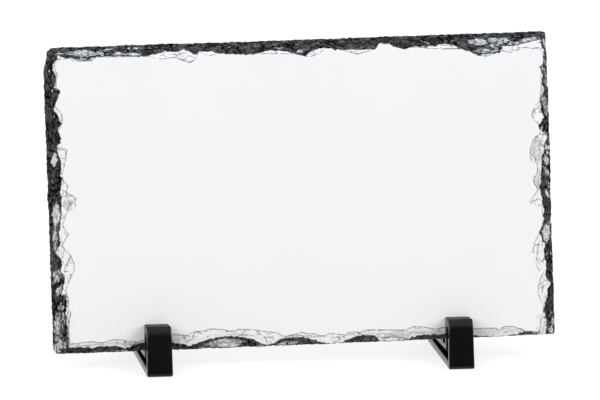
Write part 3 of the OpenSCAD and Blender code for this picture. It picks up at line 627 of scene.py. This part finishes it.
class Finish:
    """The nodes of a material or of the world. What a method takes as a value is a
    socket, a number or a tuple, and most methods add nodes and return a socket."""

    def __init__(self, owner):
        owner.use_nodes = True
        self.owner, self.nodes, self.links = owner, owner.node_tree.nodes, owner.node_tree.links

    def feed(self, socket, value):
        """Wire an input to another node's output, or set it to a number or a tuple."""
        if isinstance(value, bpy.types.NodeSocket):
            self.links.new(value, socket)
        else:
            socket.default_value = (*value, 1) if socket.type == "RGBA" else value

    def node(self, kind, inputs, **settings):
        """A new node with these settings and these inputs."""
        made = self.nodes.new("ShaderNode" + kind)
        for name, value in settings.items():
            setattr(made, name, value)
        for name, value in inputs.items():
            self.feed(made.inputs[name], value)
        return made

    def surface(self, **inputs):
        """Give the Principled shader these inputs, an underscore for each space."""
        for name, value in inputs.items():
            self.feed(self.nodes["Principled BSDF"].inputs[name.replace("_", " ")], value)

    def axes(self, coordinates="Object"):
        """The place as its X, Y and Z."""
        place = self.node("TexCoord", {}).outputs[coordinates]
        return self.node("SeparateXYZ", {0: place}).outputs

    def noise(self, scale, detail, rough, stretch=(1, 1, 1), warp=0.0):
        """Noise on Object coordinates, its pattern stretched along the axes."""
        place = self.node("TexCoord", {}).outputs["Object"]
        place = self.node("Mapping", {"Vector": place, "Scale": stretch}).outputs["Vector"]
        inputs = {"Vector": place, "Scale": scale, "Detail": detail, "Roughness": rough,
                  "Distortion": warp}
        return self.node("TexNoise", inputs).outputs["Fac"]

    def math(self, operation, *values, clamp=False):
        """One Math node on one or two values."""
        inputs = dict(enumerate(values))
        return self.node("Math", inputs, operation=operation, use_clamp=clamp).outputs[0]

    def times(self, a, b):
        """a multiplied by b."""
        return self.math("MULTIPLY", a, b)

    def plus(self, a, b, clamp=False):
        """The sum of a and b, held between 0 and 1 if clamp is set."""
        return self.math("ADD", a, b, clamp=clamp)

    def spread(self, value, low, high, to_low=0.0, to_high=1.0):
        """A value brought from one range to another, held at both ends, with an S."""
        inputs = {"Value": value, "From Min": low, "From Max": high,
                  "To Min": to_low, "To Max": to_high}
        return self.node("MapRange", inputs, interpolation_type="SMOOTHSTEP").outputs["Result"]

    def blend(self, share, low, high):
        """Mix of two colours, in linear light."""
        inputs = {"Factor": share, "A": low, "B": high}
        return self.node("Mix", inputs, data_type="RGBA").outputs["Result"]

    def bump(self, height, depth, strength):
        """Relief of the shader, depth in metres from the lowest to the highest tone."""
        inputs = {"Height": height, "Distance": depth, "Strength": strength}
        self.surface(Normal=self.node("Bump", inputs).outputs["Normal"])


def new_finish(name):
    """A material to be worked up on its Principled shader."""
    return Finish(bpy.data.materials.new(name))


def shards(look, along, across, slant, warp_scale, seed):
    """Split shards that follow the edge: Voronoi cells on the border's UV map, along
    by across millimetres, slanted and a little warped. Returns a value that is
    even over each shard, and the distance to the vein beside it."""
    place = look.node("UVMap", {}, uv_map="border").outputs["UV"]
    warp = look.node("TexNoise", {"Vector": place, "Scale": warp_scale, "Detail": 3})
    shift = look.node("VectorMath", {0: warp.outputs["Color"], 1: (0.9, 1.1, 0)},
                      operation="MULTIPLY").outputs["Vector"]
    moved = look.node("VectorMath", {0: place, 1: shift}, operation="ADD").outputs["Vector"]
    inputs = {"Vector": moved, "Location": (seed, seed, 0), "Rotation": (0, 0, slant),
              "Scale": (1 / along, 1 / across, 1)}
    inputs = {"Vector": look.node("Mapping", inputs).outputs["Vector"], "Scale": 1}
    shard = look.node("TexVoronoi", inputs, voronoi_dimensions="2D", feature="F1")
    vein = look.node("TexVoronoi", inputs, voronoi_dimensions="2D", feature="DISTANCE_TO_EDGE")
    even = look.node("SeparateColor", {"Color": shard.outputs["Color"]}).outputs["Red"]
    return even, vein.outputs["Distance"]


# Colours in linear light: bare stone, a paler stone painted as a highlight along the upper edge,
# its grey streaks, white specks and black crevices painted as shade, the dusting (on the lower edge
# painted light from below) and thin films of the coat, a film painted lighter on the flakes, and
# the stone of the back
BLACK_STONE, GREY_STONE = (0.013, 0.0136, 0.015), (0.104, 0.109, 0.118)
TOP_LIT_STONE, STREAK = (0.135, 0.141, 0.151), (0.2, 0.21, 0.226)
SPECK, CREVICE_SHADE, DUST_AND_PAINTED_LIGHT_TONE = (0.5, 0.51, 0.53), (0.003, 0.0032, 0.0036), (0.6, 0.61, 0.63)
THIN_FILM, FULL_FILM, FLAKE_FILM_PAINTED_LIGHT = (0.33, 0.345, 0.367), (0.75, 0.765, 0.79), (0.94, 0.946, 0.956)
THIN_FILM_ABOVE, FULL_FILM_ABOVE = (0.3, 0.335, 0.405), (0.7, 0.735, 0.81)
BACK_DARK, BACK_LIGHT = (0.026, 0.0265, 0.028), (0.046, 0.047, 0.05)
BACK_SWELL, BACK_STEP = (0.034, 0.036, 0.039), (0.085, 0.087, 0.092)

slate = new_finish("split_slate_with_overspray")
shard, vein = shards(slate, 4.2, 1.5, 0.16, 0.5, 3.7)
splinter, fine_vein = shards(slate, 1.5, 0.6, -0.25, 1.1, 9.1)
layers = slate.noise(420, 5, 0.6, warp=1.2)
patches = slate.noise(170, 4, 0.6, warp=0.6)
grain = slate.noise(1500, 3, 0.6)
place = slate.axes()
upper = slate.spread(place["Z"], 0.13, 0.142)
low_edge = slate.spread(place["Z"], 0.023, 0.017)
right_edge = slate.spread(place["X"], 0.108, 0.118)
# Bare stone: black and dark grey shards, paler along the upper edge as a painted highlight of
# facets lit from above, with grey streaks, black crevices of uneven width painted as shade and a
# few white specks. Overspray dusts the shards a little along the right edge; along the lower edge
# the same lightening is painted light bounced up from the table.
tone = slate.plus(slate.times(shard, 0.5), slate.times(splinter, 0.5))
# Painted highlight: the grey shards turn paler towards the upper edge, as if lit from above
top_lit_grey = slate.blend(upper, GREY_STONE, TOP_LIT_STONE)
stone = slate.blend(slate.spread(tone, 0.3, 0.8), BLACK_STONE, top_lit_grey)
stone = slate.blend(slate.spread(layers, 0.54, 0.74), stone, STREAK)
# Lighter along the lower edge as painted light from the table below, and a little real dusting
# along the right edge
dust_and_painted_light = slate.math("MAXIMUM", slate.times(right_edge, 0.025), slate.times(low_edge, 0.09))
stone = slate.blend(dust_and_painted_light, stone, DUST_AND_PAINTED_LIGHT_TONE)
# The crevices between the shards are painted near black, painted shade in the cracks, and they also
# lose their gloss
gape = slate.math("DIVIDE", vein, slate.spread(patches, 0.42, 0.66, 0.05, 0.36))
whole = slate.spread(gape, 0.3, 1.0)
crevice = slate.times(whole, slate.spread(fine_vein, 0.0, 0.1, 0.4, 1.0))
stone = slate.blend(crevice, CREVICE_SHADE, stone)
stone = slate.blend(slate.spread(grain, 0.71, 0.75), stone, SPECK)
# The coat holds on a shard where the shard's own value lies under the attribute, and
# a part coat leaves the crevices open. Overspray lies thinner on some splinters; along the
# lower edge it is made denser, painted light that stands in for light bounced up from the table.
coated = slate.node("Attribute", {}, attribute_name="coat").outputs["Fac"]
spray = slate.node("Attribute", {}, attribute_name="spray").outputs["Fac"]
limit = slate.plus(slate.times(tone, 0.8), slate.times(layers, 0.3))
held = slate.spread(slate.math("SUBTRACT", coated, limit), -0.04, 0.03)
held = slate.times(held, slate.math("MAXIMUM", slate.spread(coated, 0.9, 0.99), whole))
sprayed = slate.times(spray, slate.spread(splinter, 0.0, 0.3, 0.9, 1.0))
# Painted light: the overspray is raised along the lower edge, where the flakes face down to the
# table
sprayed = slate.plus(sprayed, slate.times(slate.times(low_edge, 0.1), sprayed), clamp=True)
covered = slate.times(slate.math("MAXIMUM", held, sprayed), slate.spread(coated, 0.15, 0.4))
# Thin overspray is a cool grey, bluer along the upper edge
build_up = slate.spread(layers, 0.36, 0.6)
thin = slate.blend(upper, slate.blend(build_up, THIN_FILM, FULL_FILM),
                   slate.blend(build_up, THIN_FILM_ABOVE, FULL_FILM_ABOVE))
# Well coated flakes take a film painted lighter than the face, a painted highlight where their
# slopes catch the light
film = slate.blend(slate.spread(coated, 0.84, 0.98), thin, FLAKE_FILM_PAINTED_LIGHT)
slate.surface(Base_Color=slate.blend(covered, stone, film),
              Roughness=slate.spread(grain, 0.3, 0.7, 0.46, 0.62),
              Specular_IOR_Level=slate.times(crevice, 0.28))
relief = slate.plus(slate.times(crevice, 0.6), slate.times(layers, 0.4))
slate.bump(slate.plus(relief, slate.times(grain, 0.15)), 0.0003, 0.7)

# The back is as it was split: dull dark grey, with low curved steps between layers
cleft = new_finish("split_slate_back")
swell = cleft.noise(16, 3, 0.5, stretch=(1, 1, 1.5), warp=0.4)
terrace = cleft.math("FRACT", cleft.times(swell, 9.0))
step_line = cleft.spread(terrace, 0.0, 0.08, 1.0, 0.0)
dust = cleft.noise(90, 6, 0.65)
tooth = cleft.noise(900, 4, 0.6)
stone = cleft.blend(cleft.spread(dust, 0.3, 0.7), BACK_DARK, BACK_LIGHT)
stone = cleft.blend(cleft.spread(swell, 0.3, 0.7, 0.0, 0.5), stone, BACK_SWELL)
cleft.surface(Base_Color=cleft.blend(cleft.times(step_line, dust), stone, BACK_STEP),
              Roughness=cleft.spread(tooth, 0.3, 0.7, 0.55, 0.7), Specular_IOR_Level=0.3)
height = cleft.plus(cleft.times(terrace, 0.45), cleft.times(dust, 0.5))
cleft.bump(cleft.plus(height, cleft.times(tooth, 0.12)), 0.0005, 0.6)

slab.data.materials.append(slate.owner)
slab.data.materials.append(cleft.owner)
of_material = np.zeros(len(slab.data.polygons), np.int32)
of_material[(ROWS - 2) * COLUMNS:(ROWS - 1) * COLUMNS] = 1
of_material[-len(back_fill):] = 1
slab.data.polygons.foreach_set("material_index", of_material)
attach(slab, "board")
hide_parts("slate_slab")

# The face of the board has a smooth white polymer coat, 0.15 mm thick, sprayed and
# cured on the stone. It ends in a thin broken line where the flakes begin.

# How far in from its edge each ring of the coat lies, and how deep under its face
COAT_IN, COAT_DOWN = (0.0, 0.0, 0.05, 0.14), (COAT_T + 0.02, 0.07, 0.02, 0.0)
COAT_CORNER_R = 1.0


def coat_ring(further):
    """The coat's edge, at the inner limit of the flakes, or a line further in."""
    return plan_rings(lambda edge, s: limits(edge, np.asarray(s, float))[1] + further,
                      COAT_CORNER_R)[1]


sheet = np.stack([coat_ring(further) for further in COAT_IN])
front_way = np.array([0, -np.cos(LEAN), np.sin(LEAN)])
out_way = in_slots(outline[:, 0], 0, outline[:, 1]) - in_slots(inside[:, 0], 0, inside[:, 1])
out_way /= np.linalg.norm(out_way, axis=1)[:, None]
flat_way = 0 * out_way + front_way
coat_normals = np.concatenate([-flat_way, out_way, 0.5 * out_way + front_way, flat_way])
coat_normals /= np.linalg.norm(coat_normals, axis=1)[:, None]
coat_points = in_slots(sheet[..., 0].ravel(), np.repeat(COAT_DOWN, COLUMNS), sheet[..., 1].ravel())
last_ring = (len(sheet) - 1) * COLUMNS
coat_caps = np.concatenate([filled([sheet[0]])[:, ::-1], filled([sheet[-1]]) + last_ring])
coat_piece = mesh_piece("white_face_coat", coat_points, ring_quads(len(sheet), COLUMNS), coat_caps,
                        normals=coat_normals)
white = new_finish("cured_white_coat")
cloud = white.noise(14, 3, 0.5)
peel = white.noise(700, 3, 0.5)
WHITE_LOW, WHITE_HIGH = (0.882, 0.894, 0.914), (0.896, 0.906, 0.922)
white.surface(Base_Color=white.blend(white.spread(cloud, 0.3, 0.7), WHITE_LOW, WHITE_HIGH),
              Roughness=white.spread(peel, 0.3, 0.7, 0.34, 0.42))
white.bump(peel, 0.00003, 0.5)
coat_piece.data.materials.append(white.owner)
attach(coat_piece, "board")
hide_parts("white_coat")

# Two equal feet of glossy black plastic, each moulded in one piece: a bar on the
# table, a front plate that rolls over into a hook, the slot that the board stands
# in, a falling bar under it and a braced back-rest. All rib edges are rounded.

FOOT_W, DRAFT, FOOT_LEN = 12.8, np.radians(0.85), 70.0
FOOT_MIDS = {"left_foot": -73.2, "right_foot": 76.2}
# Hook: its height and top's thickness, the front plate, the hollow and the slot's wall
HOOK_H, HOOK_TOP, PLATE, HOLLOW, WALL = 23.2, 3.6, 3.4, 6.4, 3.1
# Bar on the table, slot's floor, bar under the board with its fall, and the back-rest
BASE, SLOT_Z, ARM, ARM_FALL, REST_H, REST = 3.2, 9.9, 2.5, np.tan(np.radians(2.0)), 42.0, 3.0
SLOT_GAP = 0.3
OUTER_ROUND, INNER_ROUND, RIB_ROUND, FLOOR_ROUND = 0.8, 0.6, 0.75, 1.4
# The hook's top falls a little to the slot, from a crease where the roll begins
HOOK_CREASE, CREASE_R, HOOK_REAR_Z, ROLL_TOP_Z, ROLL_R = (6.5, 24.15), 0.45, 23.25, 21.94, 8.9
# Points in each quarter circle of the rounded rib edges
ARC_POINTS = 6
LEAN_TAN, LEAN_COS = np.tan(LEAN), np.cos(LEAN)


def rounded_loop(corners, arc=10):
    """A closed polygon whose corners (x, y, radius) become arcs. Returns the
    points and the unit normals that point to the left of the walk."""
    c = np.array(corners, float)
    points, ways = [], []
    for i in range(len(c)):
        here, before, after, r = c[i, :2], c[i - 1, :2], c[(i + 1) % len(c), :2], c[i, 2]
        a, b = before - here, after - here
        a, b = a / np.linalg.norm(a), b / np.linalg.norm(b)
        half = np.arccos(np.clip(a @ b, -1, 1)) / 2
        mid = here + (a + b) / np.linalg.norm(a + b) * r / np.sin(half)
        start = here + a * r / np.tan(half) - mid
        spin = np.sign(start[0] * (b - a)[1] - start[1] * (b - a)[0])
        turn = spin * (np.pi - 2 * half) * np.linspace(0, 1, arc + 1)
        x = start[0] * np.cos(turn) - start[1] * np.sin(turn)
        y = start[0] * np.sin(turn) + start[1] * np.cos(turn)
        points.append(mid + np.stack([x, y], -1))
        ways.append(np.stack([x, y], -1) / r * -spin)
    return np.concatenate(points), np.concatenate(ways)


def leaned(y, z):
    """A point of the foot's side view that leans back with the board."""
    return y + z * LEAN_TAN, z


hollow_back = PLATE + HOLLOW
slot_front = PLATE + HOLLOW + WALL
slot_back = slot_front + SLOT_GAP / LEAN_COS + (SLAB_T + SLOT_GAP) / LEAN_COS
rest_back = slot_back + REST / LEAN_COS
floor_front = (slot_front + SLOT_Z * LEAN_TAN, SLOT_Z)
floor_back_y = ((slot_back + (SLOT_Z + floor_front[0] * ARM_FALL) * LEAN_TAN)
                / (1 + ARM_FALL * LEAN_TAN))
under_z, rear_in = SLOT_Z - ARM, FOOT_LEN - REST


def floor_z(y):
    """Height of the slot's floor, which falls 2 degrees to the back."""
    return SLOT_Z - (y - floor_front[0]) * ARM_FALL


def under(y):
    """Height of the underside of the bar that carries the board."""
    return under_z - (y - leaned(hollow_back, under_z)[0]) * ARM_FALL


# The side view's outline and the channel under the board, as (y, z, radius)
brace_foot = np.array([FOOT_LEN, floor_z(FOOT_LEN)])
outer_corners = [
    (0, 0, FLOOR_ROUND), (FOOT_LEN, 0, OUTER_ROUND), (*brace_foot, REST),
    (*leaned(rest_back, REST_H), OUTER_ROUND), (*leaned(slot_back, REST_H), OUTER_ROUND),
    (floor_back_y, floor_z(floor_back_y), INNER_ROUND), (*floor_front, INNER_ROUND),
    (*leaned(slot_front, HOOK_REAR_Z), OUTER_ROUND), (*HOOK_CREASE, CREASE_R),
    (*leaned(0, ROLL_TOP_Z), ROLL_R)]
channel_corners = [
    (*leaned(PLATE, BASE), INNER_ROUND), (rear_in, BASE, INNER_ROUND),
    (rear_in, under(rear_in), INNER_ROUND), (*leaned(hollow_back, under_z), INNER_ROUND),
    (*leaned(hollow_back, HOOK_H - HOOK_TOP), HOLLOW / 3),
    (*leaned(PLATE, HOOK_H - HOOK_TOP), HOLLOW / 3)]
# The window behind the back-rest: its lower front corner, and where the brace's inner
# face meets the bar and the back-rest
rest_top = np.array(leaned(rest_back, REST_H))
run = (brace_foot - rest_top) / np.linalg.norm(brace_foot - rest_top)
brace_in = rest_top + np.array([run[1], -run[0]]) * REST
slope = run[1] / run[0]
high_z = (brace_in[1] + (rest_back - brace_in[0]) * slope) / (1 - slope * LEAN_TAN)
low = leaned(rest_back, floor_z(leaned(rest_back, SLOT_Z)[0]))
tip_y = (floor_z(0) - brace_in[1] + brace_in[0] * slope) / (slope + ARM_FALL)
window_corners = [(*low, INNER_ROUND), (tip_y, floor_z(tip_y), INNER_ROUND),
                  (*leaned(rest_back, high_z), INNER_ROUND)]


def facing(fill, points, way):
    """Triangles turned so that their normals point to way, 1 or -1, along x."""
    a, b, c = (points[fill[:, k]] for k in range(3))
    spin = np.cross(b - a, c - a)[:, 0] * way
    return np.where(spin[:, None] < 0, fill[:, ::-1], fill)


def moulded_foot(name, middle):
    """The side view carried across the foot's width. Each loop of the side view
    (outline, channel, window) sweeps a quarter circle in from one flat side, runs
    across, and sweeps a quarter circle out to the other; both sides taper a
    little towards the top. The flat sides are filled between the loops."""
    arc = np.linspace(0, np.pi / 2, ARC_POINTS)
    there_and_back = np.concatenate([arc, arc[::-1]])
    inset = (1 - np.sin(there_and_back)) * RIB_ROUND
    back_off = (1 - np.cos(there_and_back)) * RIB_ROUND
    sign = np.repeat([-1.0, 1.0], ARC_POINTS)
    side_part, out_part = np.cos(there_and_back) * sign, np.sin(there_and_back)
    rows = len(sign)
    points, normals, quads, side_views, near_cap, total = [], [], [], [], [], 0
    for corners, hole in ((outer_corners, False), (channel_corners, True), (window_corners, True)):
        loop, way = rounded_loop(corners)
        area = np.sum(loop[:, 0] * np.roll(loop[:, 1], -1) - loop[:, 1] * np.roll(loop[:, 0], -1))
        into = way * np.sign(area) * (-1 if hole else 1)
        n = len(loop)
        side_view = loop[None] + into[None] * inset[:, None, None]
        half = FOOT_W / 2 - side_view[..., 1] * np.tan(DRAFT)
        x = middle + sign[:, None] * (half - back_off[:, None])
        place = np.stack([x, side_view[..., 0] - FOOT_MID, side_view[..., 1]], -1)
        points.append(place.reshape(-1, 3) * MM)
        normals.append(np.stack([side_part[:, None] + 0 * x, -into[None, :, 0] * out_part[:, None],
                                 -into[None, :, 1] * out_part[:, None]], -1).reshape(-1, 3))
        ring = ring_quads(rows, n, total)
        quads.append(ring if (area > 0) != hole else ring[:, ::-1])
        side_views.append(side_view[0])
        near_cap.append(np.stack([total + np.arange(n), total + (rows - 1) * n + np.arange(n)]))
        total += rows * n
    points, normals = np.concatenate(points), np.concatenate(normals)
    near, far = np.concatenate(near_cap, axis=1)[:, filled(side_views)]
    caps = np.concatenate([facing(near, points, -1), facing(far, points, 1)])
    return mesh_piece(name, points, np.concatenate(quads), caps, normals=normals)


gloss_black = new_finish("moulded_gloss_black")
BLACK_LOW, BLACK_HIGH = (0.0022, 0.0022, 0.0024), (0.0034, 0.0034, 0.0036)
flow = gloss_black.noise(60, 3, 0.5, stretch=(1, 1, 0.5))
skin = gloss_black.noise(1400, 2, 0.5)
# The hook's top is rubbed a little dull where boards are set down on it
up = gloss_black.axes()["Z"]
rubbed = gloss_black.times(gloss_black.spread(up, 0.0226, 0.0236),
                           gloss_black.spread(up, 0.0262, 0.0254))
polish = gloss_black.spread(flow, 0.3, 0.7, 0.2, 0.25)
gloss_black.surface(Base_Color=gloss_black.blend(flow, BLACK_LOW, BLACK_HIGH), IOR=1.37,
                    Roughness=gloss_black.plus(polish, gloss_black.times(rubbed, 0.3)))
gloss_black.bump(skin, 0.00001, 0.35)
for node_name, middle in FOOT_MIDS.items():
    foot = moulded_foot(node_name + "_moulding", middle)
    foot.data.materials.append(gloss_black.owner)
    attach(foot, node_name)
    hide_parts(node_name)

# A white table top that runs on as the backdrop, a room that is bright overhead and
# behind the object and dark low down behind the camera, and two large soft lamps.

REACH = 20.0
corners = [[-REACH, -REACH, 0], [REACH, -REACH, 0], [REACH, REACH, 0], [-REACH, REACH, 0]]
floor = mesh_piece("studio_floor", corners, [[0, 1, 2, 3]])
# The table is a middle grey to the light that it bounces. Seen by the camera or in a
# reflection, it has a glow that makes it white and keeps the object's shadow.
TABLE_TONE, SEEN_TONE, SEEN_GLOW = (0.45, 0.45, 0.45), (0.3, 0.3, 0.3), 0.76
paper = new_finish("white_table")
rays = paper.node("LightPath", {}).outputs
seen = paper.plus(rays["Is Camera Ray"], rays["Is Glossy Ray"], clamp=True)
seen = paper.plus(seen, rays["Is Transmission Ray"], clamp=True)
paper.surface(Base_Color=paper.blend(seen, TABLE_TONE, SEEN_TONE),
              Roughness=0.9, Specular_IOR_Level=0.0)
glow = paper.node("Emission", {"Strength": paper.times(seen, SEEN_GLOW)}).outputs["Emission"]
both = paper.node("AddShader", {0: paper.nodes["Principled BSDF"].outputs["BSDF"], 1: glow})
paper.feed(paper.nodes["Material Output"].inputs["Surface"], both.outputs["Shader"])
floor.data.materials.append(paper.owner)

# The camera's direction and small roll, its distance, the point that it looks at, its
# focal length and the picture's width in pixels, and the width of its sensor in mm
CAMERA_AZ, CAMERA_EL, CAMERA_ROLL = np.radians(-8.06), np.radians(11.0), np.radians(0.25)
DISTANCE, AIM = 3.795, np.array([-0.00465, -0.035, 0.0869])
FOCAL_PX, PHOTO_W, SENSOR = 7775.7, 600, 36
back_way = np.array([np.sin(CAMERA_AZ) * np.cos(CAMERA_EL), -np.cos(CAMERA_AZ) * np.cos(CAMERA_EL),
                     np.sin(CAMERA_EL)])
level = np.array([np.cos(CAMERA_AZ), np.sin(CAMERA_AZ), 0.0])
upright = np.cross(back_way, level)
right_way = level * np.cos(CAMERA_ROLL) + upright * np.sin(CAMERA_ROLL)
up_way = upright * np.cos(CAMERA_ROLL) - level * np.sin(CAMERA_ROLL)


def stand(thing, axes, place):
    """Put a lamp or the camera at a place, its own x, y and z along these axes."""
    holder = bpy.data.objects.new(thing.name, thing)
    turned = Matrix(np.stack(axes, -1).tolist()).to_4x4()
    turned.translation = place
    holder.matrix_world = turned
    bpy.context.scene.collection.objects.link(holder)
    return holder


lens = bpy.data.cameras.new("photograph")
lens.sensor_width = SENSOR
lens.lens = FOCAL_PX / PHOTO_W * SENSOR
lens.clip_end = 100
bpy.context.scene.camera = stand(lens, [right_way, up_way, back_way], AIM + back_way * DISTANCE)

world = bpy.data.worlds.new("studio")
bpy.context.scene.world = world
room = Finish(world)
sky = room.nodes["Background"].inputs
room.feed(sky["Color"], (1, 1, 1))
way = room.axes("Generated")
rays = room.node("LightPath", {}).outputs
low_down = room.spread(way["Y"], -0.6, 0.5, 0.03, 1.0)
overhead = room.spread(way["Z"], 0.45, 0.88)
bright = room.plus(low_down, room.times(overhead, room.math("SUBTRACT", 1.0, low_down)))
# The white backdrop: all round for the camera, and behind the object for gloss
mirrored = room.plus(rays["Is Glossy Ray"], rays["Is Transmission Ray"], clamp=True)
mirrored = room.times(mirrored, room.spread(way["Y"], 0.3, 0.6))
seen = room.math("MAXIMUM", rays["Is Camera Ray"], mirrored)
room.feed(sky["Strength"], room.math("MAXIMUM", seen, bright))

LAMP_SPOTS = {"lamp_left": (-2.0, -2.2, 1.6), "lamp_right": (2.0, -2.2, 1.6)}
LAMP_SIZE, LAMP_POWER, LAMP_AIM = 1.8, 50.0, (0, 0, 0.07)
for name, spot in LAMP_SPOTS.items():
    lamp = bpy.data.lights.new(name, "AREA")
    lamp.shape = "SQUARE"
    lamp.size = LAMP_SIZE
    lamp.energy = LAMP_POWER
    way = np.subtract(spot, LAMP_AIM)
    way = way / np.linalg.norm(way)
    side_way = np.cross([0, 0, 1], way)
    side_way = side_way / np.linalg.norm(side_way)
    stand(lamp, [side_way, np.cross(way, side_way), way], spot)

bpy.context.view_layer.update()
bpy.context.scene.view_settings.view_transform = "Standard"
